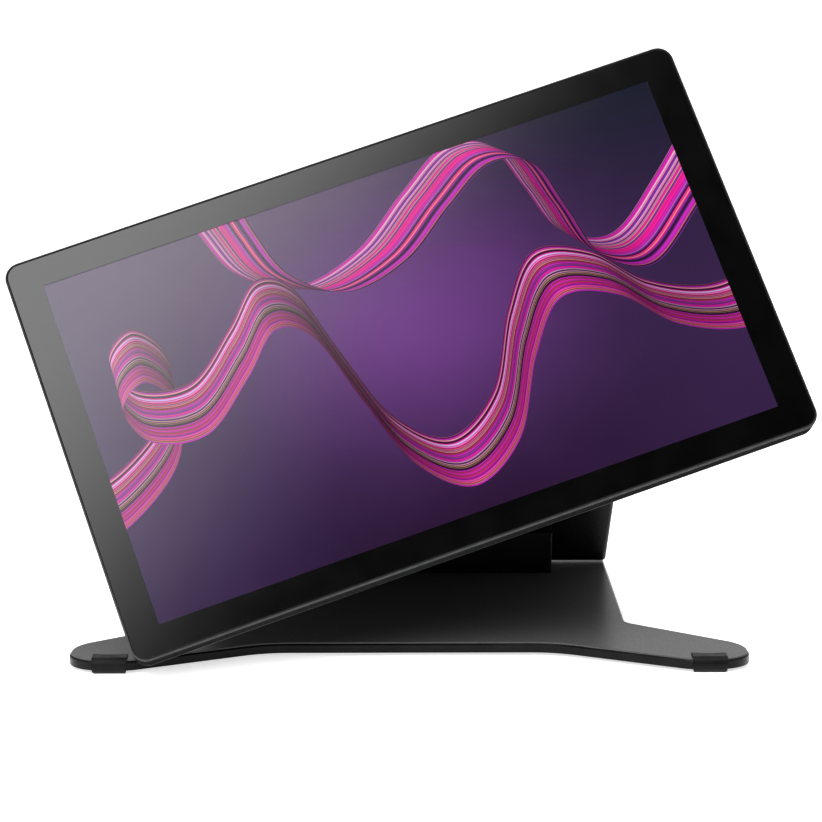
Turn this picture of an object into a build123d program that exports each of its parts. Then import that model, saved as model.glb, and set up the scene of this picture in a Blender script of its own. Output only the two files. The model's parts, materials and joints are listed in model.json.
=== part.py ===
from build123d import *
from math import cos, radians, sin
import os

# Pen display on its adjustable desk stand.  Millimetres, +Z up, +Y away from the person drawing.
# The origin is on the desk, under the middle of the object's overall box.
# The screen leans back on the stand and is turned in its own plane by SCREEN_ROLL.

# ---- Driving dimensions ------------------------------------------------------------------
# Screen unit, measured in its own plane: x right, y up the glass, z out towards the person
ACTIVE_W, ACTIVE_H = 383.0, 215.4       # 17.3 inch picture, 16:9
OUTER_W, OUTER_H = 423.6, 252.1         # outside of the edge frame
OUTER_CORNER = 9.6
SIDE_DEPTH = 15.0                       # straight side wall
SCREEN_DEPTH = 22.0                     # glass to back face
BACK_INSET = 10.0                       # how far the back face is pulled in by the taper
RIM = 1.25                              # bevel round the glass
GLASS_GAP = 0.3
GLASS_T = 1.2
WALL = 2.0                              # moulded covers
FRAME_WALL = 4.5

# Where the screen stands
SCREEN_ANGLE = 66.0                     # glass to desk, degrees
SCREEN_ROLL = 19.6                      # turned anticlockwise, degrees
SCREEN_HEIGHT = 184.6                   # middle of the glass above the desk
FRONT_EDGE = -87.2                      # straight front edge of the base
SCREEN_Y = FRONT_EDGE + 15.9

# Base plate, x to the right of the middle and y behind the straight front edge
PLATE_BOTTOM, PLATE_TOP = 2.0, 7.4
COVER_TOP = 8.2                         # textured sheet on the plate
COVER_INSET = 1.1
BODY_HALF, BASE_REAR = 132.7, 234.1
FOOT_HALF, FOOT_FRONT = 199.9, -38.0
PLATE_BEVEL = 0.9
PAD_X, PAD_W = 174.8, 20.4              # front rubber feet

# Stand arm: a wide cover-clad arm with a narrower parallel link behind it
ARM_ANGLE = 41.1                        # arm to desk, degrees, leaning forwards
ARM_LENGTH = 196.0                      # pivot to pivot, the same for the link
ARM_BASE = (FRONT_EDGE + 210.3, 16.4)   # y, z of the arm's lower pivot
LINK_OFFSET = (12.5, 9.0)               # link pivot from arm pivot, at both ends
ARM_HALF, ARM_R = 133.4, 7.4
ARM_PANEL_HALF, ARM_PANEL_T = 94.4, 2.0  # raised middle of the arm's front
FRAME_HALF, FRAME_T = 88.0, 9.0
LINK_HALF, LINK_T, LINK_R = 80.0, 6.0, 5.0
ARM_PIN_R, LINK_PIN_R, TILT_PIN_R = 3.0, 2.5, 4.0
PIN_PLAY = 0.05
HINGE_COVER_HALF = 95.1                 # fixed cover in front of the arm's hinge
HINGE_COVER_Y, HINGE_COVER_ANGLE = FRONT_EDGE + 175.6, 78.0
HINGE_COVER_DEPTH = 13.4
HINGE_COVER_POSTS = (80.0, FRONT_EDGE + 182.6)
ARM_CLEARANCE = 0.6
TILT_BACK = 22.0                        # tilt axis behind the screen's back face

# Lugs along the pivots, from the middle outwards
BRACKET_X = (50.0, 70.0)
HEAD_X = (30.0, 50.0)
CRADLE_X = (51.0, 67.0)
LUG_GAP = 1.0
WASHER_T = 0.8

# Roll pivot behind the screen
HUB_PLATE, HUB_PLATE_T = 116.0, 3.0
HUB_R, HUB_END = 15.0, 10.8
CRADLE_FRONT, CRADLE_BACK = 4.2, 9.0
CRADLE_W, CRADLE_H = 144.0, 52.0
ROLL_TRAVEL = 20.0                      # each way from level
STOP_RADIUS, STOP_PIN_R = 21.0, 2.5
MOUNT_SPACING = 100.0                   # four screws on a 100 mm square

# Layers behind the glass, as front and back depths
MASK = (1.2, 1.4)
LCD = (1.6, 3.2)
FILMS = (3.3, 3.9)
LIGHT_GUIDE = (3.9, 6.2)
TRAY = (3.2, 7.0)
SENSOR = (7.0, 7.8)
SHIELD = (7.8, 8.2)
CHASSIS = (8.2, 9.7)
BOARD = (12.2, 13.8)
CHIPS = (13.8, 15.4)
SPREADER = (15.4, 16.9)
KEY_BOARD = (16.2, 17.4)
BACKPLATE = (17.5, 20.0)
COVER_INSIDE = SCREEN_DEPTH - WALL

nodes = {}


# ---- Frames of reference -----------------------------------------------------------------
def yz_direction(angle):
    """Unit vector (y, z) at this many degrees above +Y."""
    return cos(radians(angle)), sin(radians(angle))


def shifted(point, direction, distance):
    return point[0] + direction[0] * distance, point[1] + direction[1] * distance


UP_GLASS = yz_direction(SCREEN_ANGLE)
INTO_SCREEN = yz_direction(SCREEN_ANGLE - 90)
UP_ARM = yz_direction(180 - ARM_ANGLE)
FRONT_NORMAL = (0, -INTO_SCREEN[0], -INTO_SCREEN[1])
ROLL_COS, ROLL_SIN = cos(radians(SCREEN_ROLL)), sin(radians(SCREEN_ROLL))

LINK_BASE = (ARM_BASE[0] + LINK_OFFSET[0], ARM_BASE[1] + LINK_OFFSET[1])
ARM_HEAD = shifted(ARM_BASE, UP_ARM, ARM_LENGTH)
LINK_HEAD = shifted(LINK_BASE, UP_ARM, ARM_LENGTH)
TILT_AXIS = shifted((SCREEN_Y, SCREEN_HEIGHT), INTO_SCREEN, SCREEN_DEPTH + TILT_BACK)

SCREEN = Plane(
    origin=(0, SCREEN_Y, SCREEN_HEIGHT),
    x_dir=(ROLL_COS, ROLL_SIN * UP_GLASS[0], ROLL_SIN * UP_GLASS[1]),
    z_dir=FRONT_NORMAL,
).location
LEVEL_SCREEN = Plane(origin=(0, SCREEN_Y, SCREEN_HEIGHT), x_dir=(1, 0, 0), z_dir=FRONT_NORMAL).location
SIDE = Plane(origin=(0, 0, 0), x_dir=(0, 1, 0), z_dir=(1, 0, 0)).location


def arm_side(pivot):
    """Side view of an arm or link: x up along it, y out of its front face, z along the pivot."""
    return Plane(origin=(0, *pivot), x_dir=(0, *UP_ARM), z_dir=(1, 0, 0)).location


# ---- Shape helpers -----------------------------------------------------------------------
def block(x, y, z):
    """Box from (low, high) pairs."""
    size = [high - low for low, high in (x, y, z)]
    return Pos(x[0], y[0], z[0]) * Box(*size, align=(Align.MIN,) * 3)


def sheet(width, height, radius, depths, centre=(0, 0)):
    """Rounded plate parallel to the glass, between two depths behind it."""
    front, back = depths
    outline = RectangleRounded(width, height, radius) if radius else Rectangle(width, height)
    return extrude(Pos(*centre, -back) * outline, back - front)


def post(x, y, radius, depths):
    """Cylinder square to the glass, between two depths behind it."""
    front, back = depths
    return Pos(x, y, -back) * Cylinder(radius, back - front, align=(Align.CENTER, Align.CENTER, Align.MIN))


def slab(profile, x_range):
    """Side-view profile extruded between two stations along the pivots."""
    low, high = x_range
    return extrude(Pos(0, 0, low) * profile, high - low)


def both_sides(x_range):
    low, high = x_range
    return (-high, -low), (low, high)


def round_bar(point, radius, x_range):
    """Cylinder along X at a (y, z) point."""
    return SIDE * slab(Pos(*point) * Circle(radius), x_range)


def hull(*circles):
    """Convex side-view outline round (point, radius) circles."""
    return make_hull([(Pos(*point) * Circle(radius)).edges() for point, radius in circles])


def total(parts):
    """One shape from several."""
    result = parts[0]
    for piece in parts[1:]:
        result += piece
    return result


def separate(parts):
    """Several like solids kept in one node."""
    return Compound(children=[piece.solid() for piece in parts])


# ---- Base --------------------------------------------------------------------------------
def base_outline():
    right = [(85.9, 0), (162.5, FOOT_FRONT), (FOOT_HALF, FOOT_FRONT), (FOOT_HALF, -3.8),
             (BODY_HALF, 48.4), (BODY_HALF, BASE_REAR)]
    radii = [60, 15, 20.5, 26.5, 12, 16]
    left = [(-x, y) for x, y in reversed(right)]
    corners = [(x, y + FRONT_EDGE) for x, y in right + left]
    return make_face(FilletPolyline(*corners, radius=radii + radii[::-1], close=True))


def bracket_screw_places():
    rows = (ARM_BASE[0] - 4, LINK_BASE[0] + 2)
    middle = sum(BRACKET_X) / 2
    return [(x, y) for x in (-middle, middle) for y in rows]


def bracket_foot_range():
    return ARM_BASE[0] - 9, LINK_BASE[0] + 7


def bracket_profile():
    foot_low, foot_high = bracket_foot_range()
    foot = Pos((foot_low + foot_high) / 2, PLATE_TOP + 2) * Rectangle(foot_high - foot_low, 4)
    arm_eye, link_eye = Pos(*ARM_BASE) * Circle(8.0), Pos(*LINK_BASE) * Circle(6.5)
    return make_hull([foot.edges(), arm_eye.edges(), link_eye.edges()])


def screw_from_below(x, y, head_radius, radius, top, socket_size):
    head = Pos(x, y, PLATE_BOTTOM) * Cylinder(head_radius, 2.4, align=(Align.CENTER, Align.CENTER, Align.MIN))
    shank = Pos(x, y, PLATE_BOTTOM) * Cylinder(radius, top - PLATE_BOTTOM,
                                               align=(Align.CENTER, Align.CENTER, Align.MIN))
    socket = extrude(Pos(x, y, PLATE_BOTTOM) * RegularPolygon(socket_size, 6), 1.4)
    return head + shank, socket


def hinge_cover_outline(inset):
    """Side view: a steep front wall, then a roof that follows the resting arm's underside."""
    run = cos(radians(HINGE_COVER_ANGLE)) / sin(radians(HINGE_COVER_ANGLE))
    gap = ARM_R + ARM_PANEL_T + ARM_CLEARANCE + inset
    front, rear = HINGE_COVER_Y + inset, HINGE_COVER_Y + HINGE_COVER_DEPTH - inset
    slope = sin(radians(ARM_ANGLE)) / cos(radians(ARM_ANGLE))
    drop = gap / cos(radians(ARM_ANGLE))

    def roof(y):
        return ARM_BASE[1] + (ARM_BASE[0] - y) * slope - drop

    peak_z = (roof(front) + slope * run * -COVER_TOP) / (1 - slope * run)
    peak_y = front - (peak_z - COVER_TOP) * run
    return make_face(Polyline((front, COVER_TOP), (peak_y, roof(peak_y)), (rear, roof(rear)),
                              (rear, COVER_TOP), close=True))


def make_hinge_cover(plate, top_sheet, screws):
    half = HINGE_COVER_HALF
    cover = SIDE * slab(hinge_cover_outline(0), (-half, half))
    front_wall = cover.faces().sort_by(Axis.Y)[0]
    cover = fillet(front_wall.edges().sort_by(Axis.Z)[1:], 1.2)
    inner_half = half - WALL
    cover -= SIDE * slab(hinge_cover_outline(WALL), (-inner_half, inner_half))
    bodies = []
    x, y = HINGE_COVER_POSTS
    for side in (-1, 1):
        body, socket = screw_from_below(side * x, y, 3.2, 1.5, 15.0, 1.3)
        post_up = Pos(side * x, y, COVER_TOP) * Cylinder(3.4, 13.0, align=(Align.CENTER, Align.CENTER, Align.MIN))
        cover += post_up
        cover -= body
        bodies.append(body)
        screws.append(body - socket)
    nodes["hinge_cover"] = cover
    return plate - total(bodies), top_sheet - total(bodies)


def front_clip():
    """Bulged front, a crease above it and a lip on the top sheet; wider at the top than at the bottom."""
    top = COVER_TOP + 1.2
    lip = Polyline((-37.8, 8.7), (-37.0, 8.8), (-36.3, top), (-27.2, top), (-27.2, 2.0), (-17.0, 2.0),
                   (-17.0, 0), (-37.2, 0), (-38.8, 1.4))
    bulge = ThreePointArc((-38.8, 1.4), (-39.9, 5.2), (-37.8, 8.7))
    clip = SIDE * slab(Pos(FRONT_EDGE, 0) * make_face(lip + bulge), (-PAD_W / 2, PAD_W / 2))
    half = PAD_W / 2
    front_view = make_face(FilletPolyline((-half, 12), (-half, 7.6), (-half + 0.4, -0.01), (half - 0.4, -0.01),
                                          (half, 7.6), (half, 12), radius=[1.5, 1.6, 1.6, 1.5], close=False)
                           + Line((half, 12), (-half, 12)))
    facing = Plane(origin=(0, FRONT_EDGE, 0), x_dir=(1, 0, 0), z_dir=(0, -1, 0)).location
    clip &= facing * extrude(front_view, 60)
    hollow = Pos(0, FRONT_EDGE - 28.9 + 36, COVER_TOP) * Cylinder(36, 4, align=(Align.CENTER, Align.CENTER, Align.MIN))
    clip -= hollow
    return fillet(clip.faces().sort_by(Axis.Z)[-1].edges(), 0.25)


def make_base():
    outline = base_outline()
    plate = extrude(Pos(0, 0, PLATE_BOTTOM) * outline, PLATE_TOP - PLATE_BOTTOM)
    plate = chamfer(plate.faces().sort_by(Axis.Z)[-1].edges(), PLATE_BEVEL)
    top_sheet = extrude(Pos(0, 0, PLATE_TOP) * offset(outline, -COVER_INSET), COVER_TOP - PLATE_TOP)
    top_sheet = fillet(top_sheet.faces().sort_by(Axis.Z)[-1].edges(), 0.3)

    screws = []
    for x, y in bracket_screw_places():
        body, socket = screw_from_below(x, y, 4.5, 2.5, PLATE_TOP + 2.6, 1.7)
        plate -= body
        screws.append(body - socket)

    foot_y = bracket_foot_range()
    arm_bore = round_bar(ARM_BASE, ARM_PIN_R, (-LINK_HALF, LINK_HALF))
    link_bore = round_bar(LINK_BASE, LINK_PIN_R, (-LINK_HALF, LINK_HALF))
    for side, x_range in zip(("left", "right"), both_sides(BRACKET_X)):
        bracket = SIDE * slab(bracket_profile(), x_range) - arm_bore - link_bore
        nodes["hinge_bracket_" + side] = bracket - total(screws)
        top_sheet -= block(x_range, foot_y, (PLATE_TOP, COVER_TOP))
    plate, top_sheet = make_hinge_cover(plate, top_sheet, screws)
    nodes["base_plate"] = plate
    nodes["base_top_sheet"] = top_sheet
    nodes["base_screws"] = separate(screws)
    nodes["arm_base_pin"] = round_bar(ARM_BASE, ARM_PIN_R, (-86, 86))
    nodes["link_base_pin"] = round_bar(LINK_BASE, LINK_PIN_R, (-78, 78))

    # Rubber feet: a clip moulded round the front edge of each foot, and a pad under each rear corner
    clip = front_clip()
    for side, sign in (("left", -1), ("right", 1)):
        nodes["front_foot_" + side] = Pos(sign * PAD_X, 0, 0) * clip - plate - top_sheet
        rear = Pos(sign * 92, FRONT_EDGE + 221, 0) * extrude(RectangleRounded(50, 12, 5.9), PLATE_BOTTOM)
        nodes["rear_foot_" + side] = fillet(rear.faces().sort_by(Axis.Z)[0].edges(), 0.5)


# ---- Arm and link ------------------------------------------------------------------------
def bar_profile(thickness, end_radius):
    """Flat bar between two round eyes, side view from its lower pivot."""
    bar = Pos(ARM_LENGTH / 2, 0) * Rectangle(ARM_LENGTH, thickness)
    return bar + Circle(end_radius) + Pos(ARM_LENGTH, 0) * Circle(end_radius)


def notches(lower_depth, upper_depth):
    """Room for the bracket lugs at the bottom and the head lugs at the top."""
    reach = 20.0
    cuts = []
    for x_range in both_sides(BRACKET_X):
        wide = (x_range[0] - LUG_GAP, x_range[1] + LUG_GAP)
        cuts.append(block((-reach, lower_depth), (-reach, reach), wide))
    for x_range in both_sides(HEAD_X):
        wide = (x_range[0] - LUG_GAP, x_range[1] + LUG_GAP)
        cuts.append(block((ARM_LENGTH - upper_depth, ARM_LENGTH + reach), (-reach, reach), wide))
    return total(cuts)


def eye_bores(radius, half):
    return total([slab(Pos(x, 0) * Circle(radius), (-half, half)) for x in (0, ARM_LENGTH)])


def make_arm():
    place = arm_side(ARM_BASE)
    frame = slab(bar_profile(FRAME_T, ARM_R), (-FRAME_HALF, FRAME_HALF))
    frame -= notches(18, 14) + eye_bores(ARM_PIN_R + PIN_PLAY, FRAME_HALF)
    for x in (-60, -20, 20, 60):
        frame -= block((77, 123), (-FRAME_T, FRAME_T), (x - 16, x + 16))

    capsule = Pos(ARM_LENGTH / 2, 0) * SlotCenterToCenter(ARM_LENGTH, 2 * ARM_R)
    shell = slab(capsule, (-ARM_HALF, ARM_HALF))
    shell = fillet(shell.faces().filter_by(Axis.Z).edges(), 2.5)
    low_end, high_end = 20.0, ARM_LENGTH - 15.0
    gap_half = FRAME_HALF + 0.5
    shell -= block((-20, low_end), (-20, 20), (-gap_half, gap_half))
    shell -= block((high_end, ARM_LENGTH + 20), (-20, 20), (-gap_half, gap_half))
    inside = ARM_R - WALL
    shell -= block((low_end + WALL, high_end - WALL), (-inside, inside), (-ARM_HALF + WALL, ARM_HALF - WALL))
    shell -= block((low_end - 1, high_end + 1), (-FRAME_T / 2, FRAME_T / 2), (-FRAME_HALF, FRAME_HALF))

    parting = -2.0
    front_half = block((-20, ARM_LENGTH + 20), (parting, 20), (-150, 150))
    rear_cover = shell - front_half
    screws = []
    for along in (32, 160):
        for x in (-66, 66):
            spot = Location((along, 0, x), (90, 0, 0))
            upright = (Align.CENTER, Align.CENTER, Align.MAX)
            head = spot * Pos(0, 0, ARM_R) * Cylinder(2.8, 1.2, align=upright)
            shank = spot * Pos(0, 0, ARM_R) * Cylinder(1.5, 6.0, align=upright)
            slot = spot * Pos(0, 0, ARM_R) * Box(3.6, 0.7, 0.6, align=upright)
            rear_cover -= head + shank
            frame -= shank
            screws.append(place * (head + shank - slot))
    nodes["arm_frame"] = place * frame
    nodes["arm_rear_cover"] = place * rear_cover
    panel = block((low_end + 1, 112), (ARM_R - 1, ARM_R + ARM_PANEL_T), (-ARM_PANEL_HALF, ARM_PANEL_HALF))
    panel = fillet(panel.edges().filter_by(Axis.Y), 1.6)
    panel = fillet(panel.faces().sort_by(Axis.Y)[-1].edges(), 0.6)
    nodes["arm_front_cover"] = place * ((shell & front_half) + panel)
    nodes["arm_cover_screws"] = separate(screws)

    washers = []
    for lug, pivot in ((BRACKET_X, ARM_BASE), (HEAD_X, ARM_HEAD)):
        for low, high in both_sides(lug):
            for face in (low - LUG_GAP, high + LUG_GAP - WASHER_T):
                ring = Pos(*pivot) * (Circle(6.0) - Circle(ARM_PIN_R + PIN_PLAY))
                washers.append(SIDE * slab(ring, (face, face + WASHER_T)))
    nodes["arm_friction_washers"] = separate(washers)


def make_link():
    bar = slab(bar_profile(LINK_T, LINK_R), (-LINK_HALF, LINK_HALF))
    bar = fillet(bar.faces().filter_by(Axis.Z).edges(), 1.0)
    bar -= notches(11, 12) + eye_bores(LINK_PIN_R + PIN_PLAY, LINK_HALF)
    nodes["parallel_link"] = arm_side(LINK_BASE) * bar


# ---- Head, cradle and roll pivot ---------------------------------------------------------
def make_head():
    barrel = round_bar(TILT_AXIS, 9.0, (-HEAD_X[1], HEAD_X[1]))
    lug = hull((TILT_AXIS, 9.0), (ARM_HEAD, 8.0), (LINK_HEAD, 7.0))
    head = barrel + total([SIDE * slab(lug, x_range) for x_range in both_sides(HEAD_X)])
    pins = {
        "tilt_pin": round_bar(TILT_AXIS, TILT_PIN_R, (-CRADLE_X[1] - 2, CRADLE_X[1] + 2)),
        "arm_head_pin": round_bar(ARM_HEAD, ARM_PIN_R, (-86, 86)),
        "link_head_pin": round_bar(LINK_HEAD, LINK_PIN_R, (-78, 78)),
    }
    nodes["head_block"] = head - total(list(pins.values()))
    nodes.update(pins)


def make_cradle():
    depth = SCREEN_DEPTH
    plate = sheet(CRADLE_W, CRADLE_H, 8, (depth + CRADLE_FRONT, depth + CRADLE_BACK))
    plate -= post(0, 0, HUB_R + PIN_PLAY, (depth, depth + HUB_END))
    sweep_arc = CenterArc((0, 0), STOP_RADIUS, 90 - ROLL_TRAVEL, 2 * ROLL_TRAVEL)
    slot = Pos(0, 0, -depth - CRADLE_BACK - 1) * SlotArc(sweep_arc, 2 * STOP_PIN_R + 0.4)
    plate -= extrude(slot, CRADLE_BACK)
    cradle = LEVEL_SCREEN * plate

    back = shifted((SCREEN_Y, SCREEN_HEIGHT), INTO_SCREEN, depth + CRADLE_BACK - 1.5)
    feet = [(shifted(back, UP_GLASS, along), 1.5) for along in (-14, 14)]
    ear = hull((TILT_AXIS, 9.0), *feet)
    for x_range in both_sides(CRADLE_X):
        cradle += SIDE * slab(ear, x_range)
    cradle -= round_bar(TILT_AXIS, TILT_PIN_R + PIN_PLAY, (-100, 100))
    nodes["tilt_cradle"] = cradle

    ring = Pos(*TILT_AXIS) * (Circle(7.5) - Circle(TILT_PIN_R + PIN_PLAY))
    caps = []
    for face in (-CRADLE_X[1] - 1.6, CRADLE_X[1]):
        caps.append(SIDE * slab(ring, (face, face + 1.6)))
    nodes["tilt_spring_washers"] = separate(caps)


def hub_screw_places():
    half = MOUNT_SPACING / 2
    return [(x, y) for x in (-half, half) for y in (-half, half)]


def make_roll_pivot():
    depth = SCREEN_DEPTH
    hub = sheet(HUB_PLATE, HUB_PLATE, 10, (depth, depth + HUB_PLATE_T))
    hub += post(0, 0, HUB_R, (depth, depth + HUB_END))
    hub -= post(0, 0, 8.0, (depth, depth + HUB_END))
    pin_angle = radians(90)
    hub += post(STOP_RADIUS * cos(pin_angle), STOP_RADIUS * sin(pin_angle), STOP_PIN_R,
                (depth, depth + CRADLE_BACK))
    screws = []
    for x, y in hub_screw_places():
        head = post(x, y, 3.8, (depth + 1, depth + HUB_PLATE_T))
        shank = post(x, y, 2.0, (BACKPLATE[0], depth + 1))
        socket = post(x, y, 1.5, (depth + 1.8, depth + HUB_PLATE_T))
        hub -= head + shank
        screws.append(SCREEN * (head + shank - socket))
    nodes["pivot_hub"] = SCREEN * hub
    nodes["hub_screws"] = separate(screws)
    washer = post(0, 0, 40.0, (depth + HUB_PLATE_T, depth + CRADLE_FRONT - 0.2))
    nodes["slide_washer"] = SCREEN * (washer - post(0, 0, 24.5, (depth, depth + CRADLE_FRONT)))
    bore = post(0, 0, HUB_R, (depth, depth + HUB_END))
    nodes["roll_spring_washer"] = SCREEN * (post(0, 0, 18.0, (depth + 9.2, depth + 9.9)) - bore)
    nodes["hub_retaining_ring"] = SCREEN * (post(0, 0, 17.2, (depth + 9.9, depth + HUB_END)) - bore)


# ---- Screen unit -------------------------------------------------------------------------
GLASS_W = OUTER_W - 2 * (RIM + GLASS_GAP)
GLASS_H = OUTER_H - 2 * (RIM + GLASS_GAP)
GLASS_CORNER = OUTER_CORNER - RIM - GLASS_GAP
INNER_W, INNER_H = OUTER_W - 2 * FRAME_WALL, OUTER_H - 2 * FRAME_WALL
INNER_CORNER = OUTER_CORNER - FRAME_WALL
COVER_SCREW_PLACES = [(x, y) for x in (-192, -40, 40, 192) for y in (-106, 106)]
PORTS = {"video_port": -150.0, "data_port": -130.0, "power_port": -110.0}
PORT_DEPTHS = (10.4, 13.6)
BUTTON_X, BUTTON_W, BUTTON_T = 150.0, 14.0, 3.4
BUTTON_DEPTH = 12.1
KEYS = {"upper_left": (-180, 16), "lower_left": (-180, -16), "upper_right": (180, 16), "lower_right": (180, -16)}
KEY_W, KEY_H = 11.0, 22.0
VENT_X, VENT_Y, VENT_PITCH, VENT_COUNT = 128.0, 92.0, 5.0, 12


def screen_node(name, shape):
    nodes[name] = SCREEN * shape


def make_front_layers():
    glass = sheet(GLASS_W, GLASS_H, GLASS_CORNER, (0, GLASS_T))
    screen_node("cover_glass", chamfer(glass.faces().sort_by(Axis.Z)[-1].edges(), 0.25))
    mask = sheet(GLASS_W - 1, GLASS_H - 1, GLASS_CORNER, MASK)
    screen_node("bezel_mask", mask - sheet(ACTIVE_W, ACTIVE_H, 0, MASK))
    lcd_w, lcd_h = ACTIVE_W + 8, ACTIVE_H + 8
    screen_node("lcd_panel", sheet(lcd_w, lcd_h, 1, LCD))
    screen_node("optical_films", sheet(lcd_w - 2, lcd_h - 2, 0, FILMS))
    led_h = 3.0
    screen_node("light_guide", sheet(lcd_w - 2, lcd_h - 2 - led_h, 0, LIGHT_GUIDE, (0, led_h / 2)))
    strip_y = -(lcd_h - 2) / 2 + led_h / 2
    screen_node("led_strip", sheet(lcd_w - 4, led_h - 0.6, 0, LIGHT_GUIDE, (0, strip_y)))
    tray = sheet(lcd_w, lcd_h, 1, TRAY)
    screen_node("backlight_tray", tray - sheet(lcd_w - 2, lcd_h - 2, 0, (TRAY[0], TRAY[1] - 0.8)))
    screen_node("pen_sensor_board", sheet(lcd_w + 4, lcd_h + 4, 2, SENSOR))
    screen_node("sensor_shield", sheet(lcd_w + 2, lcd_h + 2, 2, SHIELD))


def make_edge_frame():
    frame = sheet(OUTER_W, OUTER_H, OUTER_CORNER, (0, SIDE_DEPTH))
    frame = chamfer(frame.faces().sort_by(Axis.Z)[-1].edges(), RIM - 0.05)
    frame -= sheet(GLASS_W + 2 * GLASS_GAP, GLASS_H + 2 * GLASS_GAP, GLASS_CORNER + GLASS_GAP, (0, MASK[1]))
    frame -= sheet(INNER_W, INNER_H, INNER_CORNER, (0, SIDE_DEPTH))
    for x in PORTS.values():
        low, high = PORT_DEPTHS
        frame -= block((x - 4.9, x + 4.9), (INNER_H / 2 - 1, OUTER_H), (-high - 0.3, -low + 0.3))
    half_t = BUTTON_T / 2 + 0.2
    frame -= block((BUTTON_X - BUTTON_W / 2 - 0.2, BUTTON_X + BUTTON_W / 2 + 0.2),
                   (INNER_H / 2 - 1, OUTER_H), (-BUTTON_DEPTH - half_t, -BUTTON_DEPTH + half_t))
    screen_node("edge_frame", frame)


def tapered(width, height, corner, back_corner, depths, inset):
    """Straight for the first 0.8 mm, then tapering in to the back face."""
    front, back = depths
    straight = front + 0.8
    near = Pos(0, 0, -straight) * RectangleRounded(width, height, corner)
    far = Pos(0, 0, -back) * RectangleRounded(width - 2 * inset, height - 2 * inset, back_corner)
    return extrude(near, 0.8) + loft([near, far], ruled=True)


def vent_slots():
    slots = []
    for side in (-1, 1):
        for index in range(VENT_COUNT):
            x = side * VENT_X + (index - (VENT_COUNT - 1) / 2) * VENT_PITCH
            slot = Pos(x, VENT_Y, -SCREEN_DEPTH) * SlotOverall(16, 2.2, rotation=90)
            slots.append(extrude(slot, WALL))
    return total(slots)


def make_rear_cover():
    cover = tapered(OUTER_W, OUTER_H, OUTER_CORNER, 14.0, (SIDE_DEPTH, SCREEN_DEPTH), BACK_INSET)
    cover -= tapered(INNER_W, INNER_H, INNER_CORNER, 9.0, (SIDE_DEPTH, COVER_INSIDE), BACK_INSET - 3)
    cover -= vent_slots()
    for x, y in hub_screw_places():
        cover -= post(x, y, 2.1, (COVER_INSIDE, SCREEN_DEPTH))
    for x, y in KEYS.values():
        cover -= sheet(KEY_W + 0.5, KEY_H + 0.5, 4.2, (COVER_INSIDE, SCREEN_DEPTH), (x, y))
    screws = []
    for x, y in COVER_SCREW_PLACES:
        head = post(x, y, 2.7, (SCREEN_DEPTH - 1.2, SCREEN_DEPTH))
        shank = post(x, y, 1.3, (14, SCREEN_DEPTH - 1.2))
        cover -= head + shank
        screws.append(SCREEN * (head + shank - post(x, y, 1.0, (SCREEN_DEPTH - 0.8, SCREEN_DEPTH))))
    screen_node("rear_cover", cover)
    nodes["cover_screws"] = separate(screws)
    screens = [SCREEN * sheet(66, 22, 2, (COVER_INSIDE - 0.6, COVER_INSIDE), (side * VENT_X, VENT_Y))
               for side in (-1, 1)]
    nodes["vent_screens"] = separate(screens)


def make_inside():
    chassis = sheet(INNER_W, INNER_H, INNER_CORNER, CHASSIS)
    for x, y in COVER_SCREW_PLACES:
        chassis += post(x, y, 3.2, (CHASSIS[1], COVER_INSIDE)) - post(x, y, 1.3, (14, COVER_INSIDE))
    for x in (-172, -80):
        for y in (-62, 98):
            chassis += post(x, y, 2.5, (CHASSIS[1], BOARD[0]))
    for x in (95, 165):
        for y in (-30, 60):
            chassis += post(x, y, 2.5, (CHASSIS[1], BOARD[0]))
    screen_node("chassis", chassis)

    board = sheet(110, 188, 2, BOARD, (-125, 24))
    for x in PORTS.values():
        board -= block((x - 4.6, x + 4.6), (110, 120), (-BOARD[1], -BOARD[0]))
    screen_node("main_board", board)
    chips = [sheet(28, 28, 1, CHIPS, (-130, 30)), sheet(14, 11, 0.5, CHIPS, (-100, 44)),
             sheet(14, 11, 0.5, CHIPS, (-100, 16)), sheet(20, 20, 0.5, CHIPS, (-130, -20))]
    nodes["board_chips"] = separate([SCREEN * chip for chip in chips])
    screen_node("heat_spreader", sheet(74, 96, 4, SPREADER, (-122, 12)))
    power = sheet(84, 106, 2, BOARD, (130, 15))
    power += sheet(18, 18, 2, (BOARD[1], 18.4), (112, 35)) + post(150, 30, 5, (BOARD[1], 18.6))
    screen_node("power_board", power)
    screen_node("panel_driver_board", sheet(230, 16, 1, (BOARD[0] - 1.2, BOARD[0]), (0, -94)))
    screen_node("mount_backplate", sheet(120, 120, 6, BACKPLATE) - total(
        [post(x, y, 2.0, BACKPLATE) for x, y in hub_screw_places()]))

    low, high = PORT_DEPTHS
    middle = (low + high) / 2
    for name, x in PORTS.items():
        upright = Location((x, OUTER_H / 2 - 0.6, -middle), (90, 0, 0))
        shell = upright * extrude(SlotOverall(9.0, high - low), 12.5)
        mouth = upright * extrude(SlotOverall(8.3, high - low - 0.7), 8.0)
        tongue = upright * Pos(0, 0, 1.5) * extrude(Rectangle(6.6, 0.7), 7.0)
        screen_node(name, shell - mouth + tongue)

    for side, x in (("left", -180), ("right", 180)):
        key_board = sheet(22, 70, 2, KEY_BOARD, (x, 0))
        for y in (-16, 16):
            key_board += post(x, y, 3.0, (KEY_BOARD[1], 18.2))
        screen_node("key_board_" + side, key_board)


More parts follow.
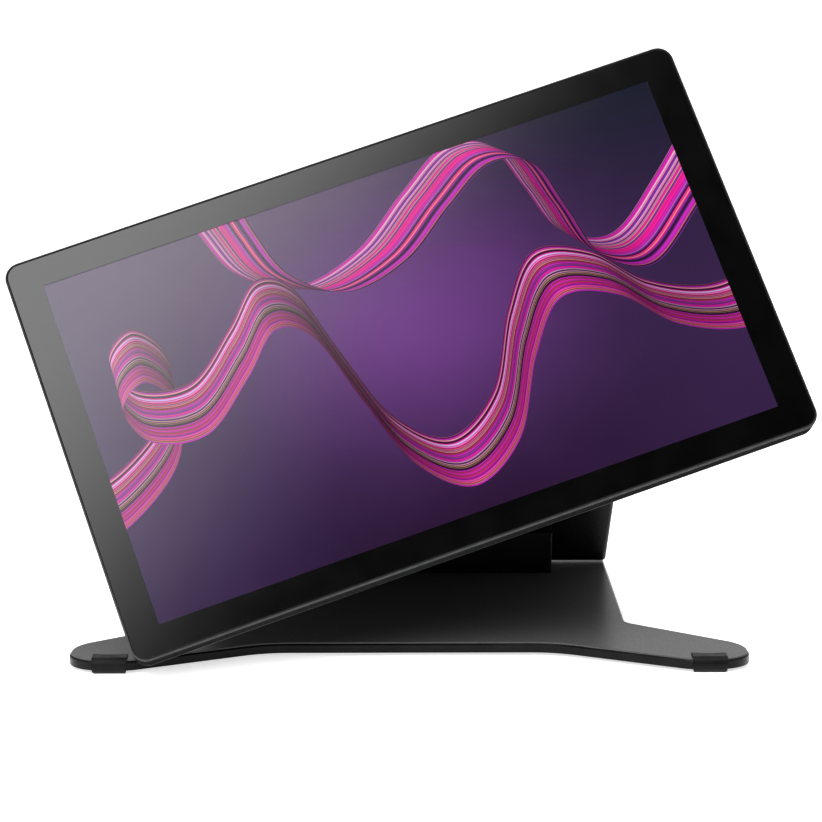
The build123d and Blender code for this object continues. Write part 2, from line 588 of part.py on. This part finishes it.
def make_buttons():
    y_out = OUTER_H / 2 + 0.7
    flange_y = (INNER_H / 2 - 1.4, INNER_H / 2 - 0.2)
    half_w, half_t = BUTTON_W / 2, BUTTON_T / 2
    cap = block((BUTTON_X - half_w, BUTTON_X + half_w), (flange_y[0], y_out),
                (-BUTTON_DEPTH - half_t, -BUTTON_DEPTH + half_t))
    cap = fillet(cap.edges().filter_by(Axis.Y), 1.5)
    cap = fillet(cap.faces().sort_by(Axis.Y)[-1].edges(), 0.3)
    flange = block((BUTTON_X - half_w - 1, BUTTON_X + half_w + 1), flange_y,
                   (-BUTTON_DEPTH - half_t - 0.5, -BUTTON_DEPTH + half_t + 0.5))
    screen_node("power_button", cap + flange)
    switch = block((BUTTON_X - 3, BUTTON_X + 3), (flange_y[0] - 5, flange_y[0] - 1),
                   (-BUTTON_DEPTH - half_t, -BUTTON_DEPTH + half_t))
    screen_node("power_switch", switch)

    for name, (x, y) in KEYS.items():
        key = sheet(KEY_W, KEY_H, 4.0, (COVER_INSIDE - 0.2, SCREEN_DEPTH + 0.8), (x, y))
        key = fillet(key.faces().sort_by(Axis.Z)[0].edges(), 0.4)
        key += sheet(KEY_W + 3, KEY_H + 3, 4.0, (COVER_INSIDE - 1.0, COVER_INSIDE - 0.2), (x, y))
        screen_node("key_" + name, key)


make_base()
make_arm()
make_link()
make_head()
make_cradle()
make_roll_pivot()
make_front_layers()
make_edge_frame()
make_rear_cover()
make_inside()
make_buttons()

os.makedirs("parts", exist_ok=True)
for node_name, node_shape in nodes.items():
    export_step(node_shape, "parts/" + node_name + ".step")

whole = Compound(children=[Compound(children=shape.solids()) for shape in nodes.values()]).bounding_box()
print(len(nodes), "nodes")
print("box low", tuple(round(v, 2) for v in whole.min), "high", tuple(round(v, 2) for v in whole.max))
for label, point in (("arm base", ARM_BASE), ("link base", LINK_BASE), ("arm head", ARM_HEAD),
                     ("link head", LINK_HEAD), ("tilt", TILT_AXIS)):
    print(label, round(point[0], 3), round(point[1], 3))
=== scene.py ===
import json
from math import cos, pi, radians, sin

import bpy
import numpy as np
from mathutils import Matrix, Vector


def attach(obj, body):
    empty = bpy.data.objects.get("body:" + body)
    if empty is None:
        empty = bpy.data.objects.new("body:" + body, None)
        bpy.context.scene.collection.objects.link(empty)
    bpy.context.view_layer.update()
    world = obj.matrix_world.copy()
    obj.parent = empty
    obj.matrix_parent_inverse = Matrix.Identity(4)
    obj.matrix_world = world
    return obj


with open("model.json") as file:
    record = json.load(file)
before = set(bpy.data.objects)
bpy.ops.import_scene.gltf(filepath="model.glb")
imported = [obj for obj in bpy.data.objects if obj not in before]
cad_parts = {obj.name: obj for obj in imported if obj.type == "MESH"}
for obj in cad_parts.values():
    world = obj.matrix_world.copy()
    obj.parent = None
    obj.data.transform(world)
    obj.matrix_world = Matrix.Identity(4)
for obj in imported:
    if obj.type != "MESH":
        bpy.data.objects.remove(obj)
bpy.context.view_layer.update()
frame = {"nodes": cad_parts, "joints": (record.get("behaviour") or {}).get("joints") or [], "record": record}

nodes = frame["nodes"]
record = frame["record"]
scene = bpy.context.scene

# ---- Where the screen is -----------------------------------------------------------------
# x runs along the picture, y up it, z out of the glass; (0, 0, 0) is the middle of the glass
TILT, ROLL = radians(66.0), radians(19.6)
BACK_DEPTH = 0.022                          # the roll axis meets the back face this far behind the glass
OUT = Vector((0, -sin(TILT), cos(TILT)))
UP_LEVEL = Vector((0, cos(TILT), sin(TILT)))
ALONG = Vector((1, 0, 0)) * cos(ROLL) + UP_LEVEL * sin(ROLL)
UP = UP_LEVEL * cos(ROLL) - Vector((1, 0, 0)) * sin(ROLL)
roll_joint = next(j for j in frame["joints"] if j["name"] == "screen_roll")
GLASS = Vector(roll_joint["pos_m"]) + OUT * BACK_DEPTH
ACTIVE = (0.3830, 0.2154)                   # lit area, metres


def on_screen(x, y, depth):
    """Point in the scene from picture millimetres and millimetres behind the glass front."""
    return GLASS + ALONG * (x / 1000) + UP * (y / 1000) - OUT * (depth / 1000)


# ---- Camera ------------------------------------------------------------------------------
FRAME_PX, FOCAL_PX = 822, 2690              # picture width and focal length, in picture elements
SENSOR_MM = 36
PITCH, YAW = -0.17593, -0.00913             # radians below the horizon and off the middle

camera = bpy.data.objects.new("camera", bpy.data.cameras.new("camera"))
scene.collection.objects.link(camera)
camera.location = (-0.01323, -1.63841, 0.42394)
camera.rotation_euler = (pi / 2 + PITCH, 0, YAW)
camera.data.sensor_width = SENSOR_MM
camera.data.lens = SENSOR_MM * FOCAL_PX / FRAME_PX
camera.data.clip_start = 0.05
camera.data.clip_end = 100
scene.camera = camera
scene.view_settings.view_transform = "Standard"


# ---- Node helpers ------------------------------------------------------------------------
class Graph:
    """A node tree with short calls. Arguments are sockets or constants."""

    def __init__(self, tree):
        self.tree = tree
        tree.nodes.clear()

    def node(self, kind, inputs=None, **props):
        made = self.tree.nodes.new("ShaderNode" + kind)
        for key, value in props.items():
            setattr(made, key, value)
        for key, value in (inputs or {}).items():
            if isinstance(value, bpy.types.NodeSocket):
                self.tree.links.new(value, made.inputs[key])
            else:
                made.inputs[key].default_value = value
        return made

    def place(self, factors=None):
        """Object coordinates: metres in the rest pose, so a pattern rides with its piece."""
        where = self.node("TexCoord").outputs["Object"]
        if factors is None:
            return where
        return self.node("VectorMath", {0: where, 1: factors}, operation="MULTIPLY").outputs[0]

    def math(self, operation, a, b=0.0):
        return self.node("Math", {0: a, 1: b}, operation=operation).outputs[0]

    def dot(self, vector, direction):
        return self.node("VectorMath", {0: vector, 1: tuple(direction)}, operation="DOT_PRODUCT").outputs["Value"]

    def scaled(self, vector, factor):
        return self.node("VectorMath", {0: vector, "Scale": factor}, operation="SCALE").outputs[0]

    def noise(self, scale, detail=3.0, rough=0.5, where=None):
        return self.node("TexNoise", {"Vector": where or self.place(), "Scale": scale, "Detail": detail,
                                      "Roughness": rough}).outputs[0]

    def cells(self, scale, random=1.0):
        """Distance to the nearest point of a scattered grid."""
        return self.node("TexVoronoi", {"Vector": self.place(), "Scale": scale, "Randomness": random},
                         feature="F1").outputs["Distance"]

    def spread(self, value, low, high, to_low=0.0, to_high=1.0, smooth=False):
        made = self.node("MapRange", {"Value": value, "From Min": low, "From Max": high,
                                      "To Min": to_low, "To Max": to_high},
                         interpolation_type="SMOOTHSTEP" if smooth else "LINEAR")
        return made.outputs[0]

    def blend(self, factor, a, b):
        made = self.node("Mix", data_type="RGBA", blend_type="MIX")
        for socket, value in ((made.inputs[0], factor), (made.inputs[6], a), (made.inputs[7], b)):
            if isinstance(value, bpy.types.NodeSocket):
                self.tree.links.new(value, socket)
            elif socket == made.inputs[0]:
                socket.default_value = value
            else:
                socket.default_value = (*value[:3], 1.0)
        return made.outputs[2]

    def ramp(self, value, stops):
        """Steps of colour; each stop holds up to the next."""
        made = self.node("ValToRGB", {0: value})
        made.color_ramp.interpolation = "CONSTANT"
        points = made.color_ramp.elements
        for index, (at, colour) in enumerate(stops):
            point = points[index] if index < len(points) else points.new(at)
            point.position = at
            point.color = (*colour[:3], 1.0)
        return made.outputs[0]

    def bump(self, height, strength, distance, normal=None):
        inputs = {"Height": height, "Strength": strength, "Distance": distance}
        if normal is not None:
            inputs["Normal"] = normal
        return self.node("Bump", inputs).outputs[0]


MATERIALS = {}


def material(name):
    """Graph of a new material, which is kept under its name."""
    made = MATERIALS[name] = bpy.data.materials.new(name)
    made.use_nodes = True
    return Graph(made.node_tree)


def finish_surface(g, shader):
    g.node("OutputMaterial", {"Surface": shader})


def principled(g, inputs):
    """One principled shader straight to the output."""
    finish_surface(g, g.node("BsdfPrincipled", inputs).outputs[0])


def surface(name, colour, rough, normal, **constants):
    """Principled material. colour, rough and normal are functions of the graph; constants name plain sockets."""
    g = material(name)
    inputs = {"Base Color": colour(g), "Roughness": rough(g), "Normal": normal(g)}
    inputs.update({key.replace("_", " "): value for key, value in constants.items()})
    principled(g, inputs)


def tones(dark, light, scale):
    """Colour that drifts between two tones."""
    return lambda g: g.blend(g.spread(g.noise(scale), 0.35, 0.65), dark, light)


def drift(low, high, scale):
    """Roughness that drifts between two values."""
    return lambda g: g.spread(g.noise(scale), 0.3, 0.7, low, high)


def grain(scale, strength, distance, second=0.0):
    """Fine moulded or coated grain, with an optional slower orange peel."""
    def build(g):
        fine = g.bump(g.noise(scale, 2.0, 0.6), strength, distance)
        if not second:
            return fine
        return g.bump(g.noise(scale / 9, 2.0), second, distance * 4, fine)
    return build


def flat(g):
    """Facet normals, for sheets whose thin edges would bend the smooth ones."""
    return g.node("NewGeometry").outputs["True Normal"]


def brushed(factors, strength):
    """Lines along one axis, from a noise stretched along it."""
    return lambda g: g.bump(g.noise(1.0, 4.0, 0.65, g.place(factors)), strength, 0.00003)


# ---- Materials ---------------------------------------------------------------------------
etched = drift(0.115, 0.135, 60)            # roughness of the anti-glare etching


def base_sheet_colour(g):
    speckle = g.spread(g.cells(1500), 0.15, 0.55)
    cloud = g.spread(g.noise(14, 4.0), 0.35, 0.65)
    return g.blend(speckle, g.blend(cloud, (0.078, 0.078, 0.079), (0.092, 0.092, 0.093)), (0.056, 0.056, 0.057))


def base_sheet_normal(g):
    coarse = g.bump(g.noise(900, 3.0, 0.7), 0.55, 0.00012)
    return g.bump(g.cells(1700), 0.25, 0.00008, coarse)


surface("base_texture", base_sheet_colour, drift(0.27, 0.36, 700), base_sheet_normal,
        Specular_IOR_Level=0.10)
surface("base_paint", tones((0.0022, 0.0022, 0.0023), (0.0042, 0.0042, 0.0043), 90),
        drift(0.26, 0.36, 400), grain(2200, 0.12, 0.00004, 0.03), Specular_IOR_Level=0.1)
surface("foot_rubber", tones((0.0028, 0.0028, 0.0029), (0.005, 0.005, 0.0052), 160),
        drift(0.36, 0.5, 260), grain(1500, 0.22, 0.00008, 0.05), Specular_IOR_Level=0.09)
surface("black_casting", tones((0.010, 0.010, 0.011), (0.018, 0.018, 0.019), 70),
        drift(0.34, 0.5, 300), grain(1100, 0.25, 0.0001, 0.06), Metallic=0.35)
surface("arm_cover", tones((0.0012, 0.0012, 0.0013), (0.0024, 0.0024, 0.0026), 60),
        drift(0.42, 0.56, 500), grain(1700, 0.2, 0.00006, 0.03), Specular_IOR_Level=0.1)
surface("fastener", tones((0.02, 0.02, 0.021), (0.05, 0.05, 0.052), 900),
        drift(0.28, 0.45, 700), grain(2600, 0.2, 0.00004), Metallic=0.8)
surface("pin_steel", tones((0.42, 0.42, 0.43), (0.56, 0.56, 0.57), 120),
        drift(0.2, 0.34, 300), brushed((5200, 60, 60), 0.2), Metallic=1.0)
surface("slide_polymer", tones((0.62, 0.61, 0.57), (0.72, 0.71, 0.67), 80),
        drift(0.4, 0.5, 200), grain(900, 0.1, 0.00005))
surface("bezel_print", tones((0.0009, 0.0009, 0.00094), (0.0014, 0.0014, 0.00145), 60),
        etched, flat)
surface("diffuser_film", tones((0.82, 0.82, 0.83), (0.88, 0.88, 0.88), 900),
        drift(0.3, 0.42, 1200), grain(3500, 0.3, 0.00002))
surface("light_guide", tones((0.78, 0.82, 0.84), (0.84, 0.87, 0.88), 60),
        drift(0.08, 0.16, 500), grain(1300, 0.1, 0.00003), Transmission_Weight=0.6)
surface("led_board", tones((0.7, 0.7, 0.62), (0.86, 0.86, 0.8), 220), drift(0.35, 0.5, 300),
        grain(900, 0.2, 0.0001))
surface("sheet_steel", tones((0.44, 0.44, 0.45), (0.54, 0.54, 0.54), 150),
        drift(0.25, 0.42, 260), brushed((80, 2400, 2400), 0.15), Metallic=1.0)
surface("rear_moulding", tones((0.013, 0.013, 0.014), (0.021, 0.021, 0.022), 45),
        drift(0.44, 0.6, 600), grain(1500, 0.3, 0.00009, 0.04))
surface("chassis_metal", tones((0.4, 0.41, 0.42), (0.5, 0.51, 0.52), 60),
        drift(0.35, 0.5, 300), grain(1200, 0.2, 0.00006), Metallic=0.9)
surface("chip_black", tones((0.015, 0.015, 0.016), (0.024, 0.024, 0.025), 600),
        drift(0.4, 0.55, 900), grain(2500, 0.2, 0.00005))
surface("spreader_metal", tones((0.62, 0.36, 0.24), (0.72, 0.44, 0.31), 70),
        drift(0.26, 0.4, 240), brushed((90, 2100, 2100), 0.14), Metallic=1.0)
surface("port_shell", tones((0.5, 0.5, 0.51), (0.62, 0.62, 0.63), 300), drift(0.2, 0.3, 600),
        grain(2500, 0.1, 0.00003), Metallic=1.0)
surface("button_cap", tones((0.018, 0.018, 0.019), (0.027, 0.027, 0.028), 300),
        drift(0.34, 0.46, 900), grain(2600, 0.2, 0.00004))


def board_material():
    """Green board with tracks and plated pads."""
    g = material("circuit_board")
    tracks = g.node("TexBrick", {"Vector": g.place(), "Scale": 160.0, "Mortar Size": 0.02},
                    offset=0.37, squash=0.6).outputs["Fac"]
    pads = g.spread(g.cells(420, random=0.6), 0.12, 0.16, 1.0, 0.0)
    green = g.blend(g.noise(60), (0.006, 0.055, 0.028), (0.010, 0.080, 0.042))
    copper = g.blend(g.math("MULTIPLY", tracks, 0.6), green, (0.016, 0.13, 0.07))
    colour = g.blend(g.math("MULTIPLY", pads, 0.8), copper, (0.55, 0.42, 0.16))
    principled(g, {"Base Color": colour, "Roughness": g.spread(pads, 0, 1, 0.38, 0.24),
                   "Normal": g.bump(tracks, 0.2, 0.00005)})


def mesh_material():
    """Woven vent screen, with painted shade: darker in the low gaps between the wires."""
    g = material("vent_mesh")
    waves = [g.node("TexWave", {"Vector": g.place(), "Scale": 420.0}, bands_direction=axis).outputs["Fac"]
             for axis in "XZ"]
    weave = g.math("MAXIMUM", *waves)
    # painted shade: the colour follows the weave's height, near black in the low gaps between the wires
    colour = g.blend(g.spread(weave, 0.4, 0.9), (0.002, 0.002, 0.002), (0.022, 0.022, 0.023))
    principled(g, {"Base Color": colour, "Roughness": g.spread(weave, 0, 1, 0.8, 0.5),
                   "Normal": g.bump(weave, 0.5, 0.0002)})


def glass_material():
    """Etched anti-glare cover glass: clear over the picture, black print bonded behind its border, ground edge."""
    g = material("etched_glass")
    x, y = screen_xy(g)
    past = g.math("MAXIMUM", g.math("SUBTRACT", g.math("ABSOLUTE", x), ACTIVE[0] / 2),
                  g.math("SUBTRACT", g.math("ABSOLUTE", y), ACTIVE[1] / 2))
    facing = g.dot(flat(g), OUT)
    ground = g.math("LESS_THAN", g.math("ABSOLUTE", facing), 0.9)
    printed = g.math("MULTIPLY", g.math("GREATER_THAN", past, 0.0), g.math("GREATER_THAN", facing, -0.5))
    frost = g.spread(g.noise(1800, 3.0), 0.3, 0.7)
    print_tone = tones((0.0009, 0.0009, 0.00093), (0.0014, 0.0014, 0.00145), 60)(g)
    edge_tone = g.blend(frost, (0.004, 0.005, 0.005), (0.010, 0.013, 0.012))
    rough = g.spread(ground, 0, 1, etched(g), g.spread(frost, 0, 1, 0.38, 0.5))
    border = g.node("BsdfPrincipled", {"Base Color": g.blend(ground, print_tone, edge_tone),
                                       "Roughness": rough}).outputs[0]
    clear = g.node("BsdfTransparent", {"Color": (1, 1, 1, 1)}).outputs[0]
    finish_surface(g, g.node("MixShader", {0: printed, 1: clear, 2: border}).outputs[0])


def edge_material():
    """Blasted black side wall with a bright cut bevel round the glass."""
    g = material("edge_metal")
    depth = g.math("SUBTRACT", GLASS.dot(OUT), g.dot(g.place(), OUT))      # metres behind the glass
    above_wall = g.spread(depth, 0.00125, 0.00140, 1.0, 0.0)
    below_lip = g.spread(depth, 0.00008, 0.00020)
    bevel = g.math("MULTIPLY", above_wall, below_lip)
    cloud = g.spread(g.noise(400), 0.35, 0.65)
    wall = g.blend(cloud, (0.008, 0.008, 0.0083), (0.013, 0.013, 0.0135))
    cut = g.blend(cloud, (0.036, 0.036, 0.037), (0.048, 0.048, 0.049))
    rough = g.spread(bevel, 0, 1, drift(0.5, 0.62, 900)(g), drift(0.2, 0.28, 900)(g))
    principled(g, {"Base Color": g.blend(bevel, wall, cut), "Metallic": bevel, "Roughness": rough,
                   "Normal": g.bump(g.noise(3200, 2.0), 0.15, 0.00004), "Specular IOR Level": 0.0})


def screen_xy(g):
    """Picture coordinates in metres from the middle of the screen."""
    where = g.place()
    x = g.math("SUBTRACT", g.dot(where, ALONG), GLASS.dot(ALONG))
    y = g.math("SUBTRACT", g.dot(where, UP), GLASS.dot(UP))
    return x, y


def lit_layer(g, colour):
    """Black layer that shines in one colour, with the gloss of the etched glass bonded to it."""
    principled(g, {"Base Color": (0.0008, 0.0008, 0.001, 1), "Roughness": etched(g), "Normal": flat(g),
                   "Emission Color": colour, "Emission Strength": 1.0})


def glow(g, x, y, centre, reach):
    """Soft round glow, 1 at its centre."""
    dx = g.math("DIVIDE", g.math("SUBTRACT", x, centre[0]), reach[0])
    dy = g.math("DIVIDE", g.math("SUBTRACT", y, centre[1]), reach[1])
    square = g.math("ADD", g.math("MULTIPLY", dx, dx), g.math("MULTIPLY", dy, dy))
    return g.math("EXPONENT", g.math("MULTIPLY", square, -1.0))


def picture_material():
    """The lit panel: an indigo field with a violet glow."""
    g = material("picture")
    x, y = screen_xy(g)
    field = g.blend(g.spread(x, -0.19, 0.19), (0.040, 0.016, 0.074), (0.036, 0.0150, 0.062))
    field = g.blend(glow(g, x, y, (0.0, -0.112), (0.13, 0.05)), field, (0.018, 0.005, 0.026))
    field = g.blend(glow(g, x, y, (0.17, 0.12), (0.16, 0.085)), field, (0.008, 0.010, 0.022))
    field = g.blend(glow(g, x, y, (-0.08, 0.10), (0.12, 0.06)), field, (0.060, 0.028, 0.085))
    field = g.blend(glow(g, x, y, (0.005, 0.012), (0.085, 0.062)), field, (0.155, 0.045, 0.235))
    smoke = g.spread(g.noise(9), 0.3, 0.7, 0.86, 1.14)
    lit_layer(g, g.scaled(field, smoke))


BANDS, LINES = 31, 113                      # broad bands and fine lines across a ribbon


def ribbon_material():
    """Long continuous threads in uneven bands, shaded by the ribbon's turn."""
    g = material("picture_ribbons")
    across, along, _ = g.node("SeparateXYZ", {0: g.node("UVMap", uv_map="Threads").outputs[0]}).outputs
    shade = g.node("Attribute", attribute_name="shade").outputs["Fac"]
    uneven = g.node("TexNoise", {"W": across, "Scale": 9.0, "Detail": 1.0}, noise_dimensions="1D").outputs[0]
    drifting = g.node("TexNoise", {"W": along, "Scale": 0.7, "Detail": 1.0}, noise_dimensions="1D").outputs[0]
    thread = g.math("ADD", across, g.math("MULTIPLY", g.math("SUBTRACT", uneven, 0.5), 0.07))
    thread = g.math("ADD", thread, g.math("MULTIPLY", g.math("SUBTRACT", drifting, 0.5), 0.01))

    def per_lane(count, seed):
        lane = g.math("ADD", g.math("FLOOR", g.math("MULTIPLY", thread, count)), seed)
        return g.node("TexWhiteNoise", {"W": lane}, noise_dimensions="1D").outputs["Value"]

    pink, magenta, rose = (0.83, 0.013, 0.305), (0.578, 0.021, 0.456), (0.402, 0.032, 0.102)
    purple, plum, lilac = (0.188, 0.026, 0.305), (0.045, 0.007, 0.045), (0.716, 0.456, 0.871)
    gold, salmon = (0.791, 0.456, 0.156), (0.753, 0.102, 0.188)
    band_tones = [(0.0, plum), (0.10, purple), (0.22, pink), (0.40, magenta), (0.52, rose),
                  (0.62, pink), (0.74, salmon), (0.82, magenta), (0.92, lilac), (0.96, plum)]
    line_tones = [(0.0, gold), (0.35, lilac), (0.55, plum), (0.8, pink), (0.9, salmon)]
    bands = g.ramp(per_lane(BANDS, 0.5), band_tones)
    lines = g.ramp(per_lane(LINES, 40.5), line_tones)
    lined = g.math("MULTIPLY", g.math("GREATER_THAN", per_lane(LINES, 7.5), 0.78), 0.8)
    colour = g.blend(lined, bands, lines)
    lane_place = g.math("FRACT", g.math("MULTIPLY", thread, BANDS))
    round_thread = g.math("POWER", g.math("SINE", g.math("MULTIPLY", lane_place, pi)), 0.5)
    level = g.math("MULTIPLY", g.spread(round_thread, 0, 1, 0.42, 1.0), shade)
    lit_layer(g, g.scaled(colour, level))


for make in (board_material, mesh_material, glass_material, edge_material, picture_material, ribbon_material):
    make()

for part in record["subparts"]:
    mesh = nodes[part["node"]].data
    mesh.materials.clear()
    mesh.materials.append(MATERIALS[part["material_slot"]])


# ---- The picture's ribbons ---------------------------------------------------------------
RIBBON_LIMIT = (196, 112)                   # half sizes: the ribbons end under the glass's printed border
RIBBON_DEPTH, RIBBON_RELIEF = 1.50, 0.06    # millimetres behind the glass
RELIEF_REACH = 70                           # height that uses up the whole relief
PAINTED_LIGHT = (-0.35, 0.55, 0.75)         # light that is drawn into the picture comes from here
THREAD_SHIFT, THREAD_RUN = 3.17, 60         # step between two ribbons' threads; millimetres in a unit along


def through(points, count):
    """Smooth curve through points: Catmull-Rom, any number of columns."""
    p = np.array(points, float)
    p = np.vstack([2 * p[0] - p[1], p, 2 * p[-1] - p[-2]])
    t = np.linspace(0, len(points) - 1.000001, count)
    i = t.astype(int)
    f = (t - i)[:, None]
    a, b, c, d = p[i], p[i + 1], p[i + 2], p[i + 3]
    return 0.5 * (2 * b + (c - a) * f + (2 * a - 5 * b + 4 * c - d) * f ** 2 + (3 * b - a - 3 * c + d) * f ** 3)


def unit(v):
    return v / np.linalg.norm(v, axis=-1, keepdims=True)


def ribbon_grid(points, reach_start, reach_end, across=41, along=400):
    """A band that keeps reaching the same way across as it winds, like a broad pen stroke. Millimetres."""
    centre = through(points, along)
    t = np.linspace(0, 1, along)[:, None]
    reach = np.array(reach_start, float) * (1 - t) + np.array(reach_end, float) * t
    s = np.linspace(-0.5, 0.5, across)
    grid = centre[:, None] + s[None, :, None] * reach[:, None]
    run = np.cumsum(np.r_[0, np.linalg.norm(np.diff(centre, axis=0), axis=1)])
    normal = unit(np.cross(np.gradient(grid, axis=0), np.gradient(grid, axis=1)))
    normal *= np.sign(normal[..., 2:] + 1e-9)              # towards the viewer
    light = unit(np.array(PAINTED_LIGHT))
    glance = unit(light + np.array([0, 0, 1.0]))
    lit = np.clip(normal @ light, 0, 1)
    shine = np.clip(normal @ glance, 0, 1) ** 26
    shade = 0.16 + 0.70 * lit ** 1.3 + 0.40 * shine
    return grid, run, s + 0.5, shade


def add_ribbons(name, ribbons, body):
    """All ribbons as one low relief just in front of the panel; nearer parts cover farther ones."""
    verts, faces, uvs, shades = [], [], [], []
    for index, strokes in enumerate(ribbons):
        grid, run, s, shade = ribbon_grid(*strokes)
        rows, columns = grid.shape[:2]
        start = len(verts)
        for i in range(rows):
            for j in range(columns):
                x, y = (min(max(value, -limit), limit) for value, limit in zip(grid[i, j], RIBBON_LIMIT))
                depth = RIBBON_DEPTH - RIBBON_RELIEF * max(-1.0, min(1.0, grid[i, j, 2] / RELIEF_REACH))
                verts.append(on_screen(x, y, depth))
                uvs.append((s[j] + index * THREAD_SHIFT, run[i] / THREAD_RUN + index))
                shades.append(shade[i, j])
        for i in range(rows - 1):
            for j in range(columns - 1):
                a = start + i * columns + j
                faces.append((a, a + 1, a + columns + 1, a + columns))
    mesh = bpy.data.meshes.new(name)
    mesh.from_pydata(verts, [], faces)
    layer = mesh.uv_layers.new(name="Threads")
    corner_verts = np.empty(len(mesh.loops), np.int32)
    mesh.loops.foreach_get("vertex_index", corner_verts)
    layer.data.foreach_set("uv", np.array(uvs, np.float32)[corner_verts].ravel())
    mesh.attributes.new("shade", "FLOAT", "POINT").data.foreach_set("value", np.array(shades, np.float32))
    mesh.shade_smooth()
    piece = bpy.data.objects.new(name, mesh)
    scene.collection.objects.link(piece)
    mesh.materials.append(MATERIALS["picture_ribbons"])
    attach(piece, body)


RIBBONS = [
    # enters low on the left, curls once, dips along the bottom and climbs out at the right
    ([(-225, -40, -10), (-185, -30, -6), (-150, -6, 0), (-138, 26, 6), (-152, 48, 14), (-170, 36, 22), (-160, 12, 30),
      (-128, 6, 34), (-96, 30, 30), (-72, 52, 20), (-52, 40, 8), (-38, -6, -4), (-22, -52, -10), (6, -76, -8),
      (40, -58, 0), (66, -14, 12), (92, 14, 20), (124, 4, 22), (150, -24, 14), (186, -40, 4), (225, -36, 0)],
     (-6, -34, 22), (10, -32, 20)),
    # hangs in from the top, swings under and rolls over towards the right
    ([(-84, 130, -60), (-78, 100, -56), (-66, 70, -48), (-36, 50, -40), (4, 58, -34), (40, 82, -28), (72, 100, -20),
      (98, 92, -14), (108, 60, -18), (118, 26, -26), (146, 12, -34), (182, 36, -40), (225, 74, -46)],
     (34, -8, 20), (14, -30, 18)),
]
add_ribbons("picture_ribbons", RIBBONS, "screen")


# ---- Floor, surroundings and lights ------------------------------------------------------
TENT, BACK_WALL, OVERHEAD = 0.6, 0.45, 1.6  # radiance of the surroundings
FLOOR_HALF = 40.0


def stage_floor():
    """Pale paper that is lit from within a little, so that it stays white beside the object."""
    mesh = bpy.data.meshes.new("floor")
    corners = [(x * FLOOR_HALF, y * FLOOR_HALF, 0) for x, y in ((-1, -1), (1, -1), (1, 1), (-1, 1))]
    mesh.from_pydata(corners, [], [(0, 1, 2, 3)])
    floor = bpy.data.objects.new("floor", mesh)
    scene.collection.objects.link(floor)
    g = material("floor")
    paper = g.spread(g.noise(3.0, 3.0), 0.3, 0.7, 0.90, 0.92)
    colour = g.node("CombineColor", {0: paper, 1: paper, 2: paper}).outputs[0]
    principled(g, {"Base Color": colour, "Roughness": 0.9, "Specular IOR Level": 0.0,
                   "Emission Color": (1, 1, 1, 1), "Emission Strength": 0.66})
    mesh.materials.append(MATERIALS["floor"])


def surroundings():
    """White to look at; as light, a soft tent with a black card where the glass would mirror it."""
    def within(toward, outer, inner):
        """1 inside a cone round a direction, 0 outside it; half angles in degrees."""
        return g.spread(toward, cos(radians(outer)), cos(radians(inner)), smooth=True)

    world = bpy.data.worlds.new("studio")
    scene.world = world
    world.use_nodes = True
    g = Graph(world.node_tree)
    direction = g.node("TexCoord").outputs["Generated"]
    mirrored = Vector((0.0, -0.79, 0.61)).normalized()
    card = within(g.dot(direction, mirrored), 38, 21)
    right, away, up = g.node("SeparateXYZ", {0: direction}).outputs
    overhead = within(up, 34, 18)
    back = g.math("MULTIPLY", g.spread(away, 0.2, 0.8, smooth=True), g.spread(up, 0.7, 0.2, smooth=True))
    back = g.math("MULTIPLY", back, g.spread(right, -0.14, 0.14, 0.0, 0.9, smooth=True))
    tent = g.math("MULTIPLY", g.math("SUBTRACT", 1.0, card), TENT)
    level = g.math("ADD", tent, g.math("MULTIPLY", back, BACK_WALL))
    level = g.math("ADD", level, g.math("MULTIPLY", overhead, OVERHEAD))
    seen = g.node("LightPath").outputs["Is Camera Ray"]
    level = g.math("ADD", g.math("MULTIPLY", level, g.math("SUBTRACT", 1.0, seen)), seen)
    background = g.node("Background", {"Color": (1, 1, 1, 1), "Strength": level})
    g.node("OutputWorld", {"Surface": background.outputs[0]})


def area_lamp(name, size, radiance):
    """Rectangular lamp that the camera doesn't see. size is in its own x and y."""
    data = bpy.data.lights.new(name, "AREA")
    data.shape = "RECTANGLE"
    data.size, data.size_y = size
    data.energy = radiance * pi * size[0] * size[1]
    lamp = bpy.data.objects.new(name, data)
    scene.collection.objects.link(lamp)
    lamp.visible_camera = False
    return lamp


def glass_softbox(distance=1.2, length=2.4, depth=0.8, radiance=5.4, clear=-0.232, full=-0.60):
    """Softbox mirrored in the upper left of the glass; it fades out along one slanted direction."""
    slant = radians(34)
    slope = (Vector((1, 0, 0)) * cos(slant) - UP_LEVEL * sin(slant)).normalized()
    lamp = area_lamp("glass_softbox", (depth, length), radiance)
    lamp.data.use_nodes = True
    g = Graph(lamp.data.node_tree)
    along = g.dot(g.node("NewGeometry").outputs["Position"], slope)
    level = g.spread(along, full, clear, 1.0, 0.0, smooth=True)
    shine = g.node("Emission", {"Color": (1, 1, 1, 1), "Strength": level}).outputs[0]
    g.node("OutputLight", {"Surface": shine})
    side = OUT.cross(slope)
    eye = Vector(camera.location)
    mirror_eye = eye - 2 * (eye - GLASS).dot(OUT) * OUT
    ray = (GLASS - mirror_eye).normalized()
    middle = GLASS + ray * (distance / ray.dot(OUT))       # where the middle of the glass is mirrored
    middle += slope * (clear - depth / 2 - middle.dot(slope))
    axes = Matrix((slope, side, OUT)).transposed()
    lamp.matrix_world = Matrix.Translation(middle) @ axes.to_4x4()


def front_fill(place=(-0.15, -1.0, 1.25), aim=(0.0, -0.06, 0.02), size=(1.6, 0.8), radiance=4.4):
    """Soft light from the front for the matt surfaces only, so that the glass does not mirror it."""
    lamp = area_lamp("front_fill", size, radiance)
    lamp.location = place
    lamp.rotation_euler = (Vector(place) - Vector(aim)).to_track_quat("Z", "Y").to_euler()
    lamp.visible_glossy = False


stage_floor()
surroundings()
glass_softbox()
front_fill()
